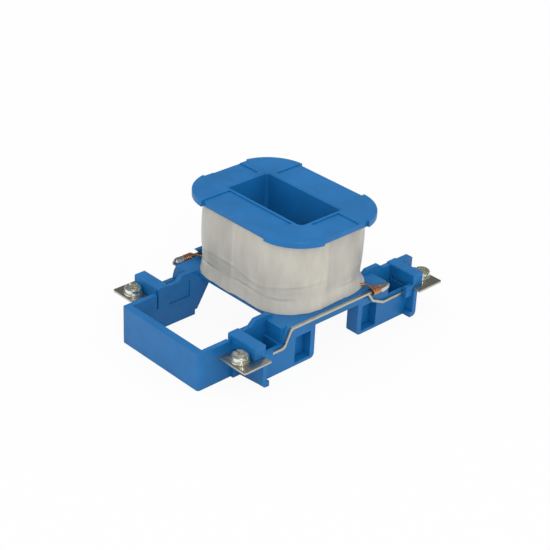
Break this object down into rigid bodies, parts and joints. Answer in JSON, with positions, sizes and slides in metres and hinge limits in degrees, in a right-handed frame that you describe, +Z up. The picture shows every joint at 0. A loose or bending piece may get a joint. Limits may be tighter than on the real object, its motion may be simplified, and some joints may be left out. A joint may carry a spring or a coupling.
{
  "type": "contactor coil",
  "caption": "Operating coil of an AC contactor: blue moulded frame with an oblong core slot, a taped winding and screw terminals on both sides.",
  "frame": {"origin": "on the axis of the core slot, level with the underside of the frame", "axes": "+Z up along the core slot towards the flange, +X along the length of the slot towards the right-hand terminals, -Y towards the box wall"},
  "size_m": [0.0696, 0.1033, 0.0467],
  "materials": {
    "moulding": "satin",
    "tape": "satin",
    "terminal": "satin",
    "screw": "gloss",
    "washer": "gloss",
    "wire": "gloss",
    "solder": "satin"
  },
  "bodies": {
    "root": {"bobbin_frame": "moulding", "winding": "wire", "tape_wrap": "tape", "terminal_strip_right": "terminal", "terminal_strip_left": "terminal", "screw_front_right": "screw", "screw_rear_right": "screw", "screw_front_left": "screw", "screw_rear_left": "screw", "washer_front_right": "washer", "washer_rear_right": "washer", "washer_front_left": "washer", "washer_rear_left": "washer", "lead_right": "wire", "lead_left": "wire", "solder_right": "solder", "solder_left": "solder"}
  },
  "joints": []
}
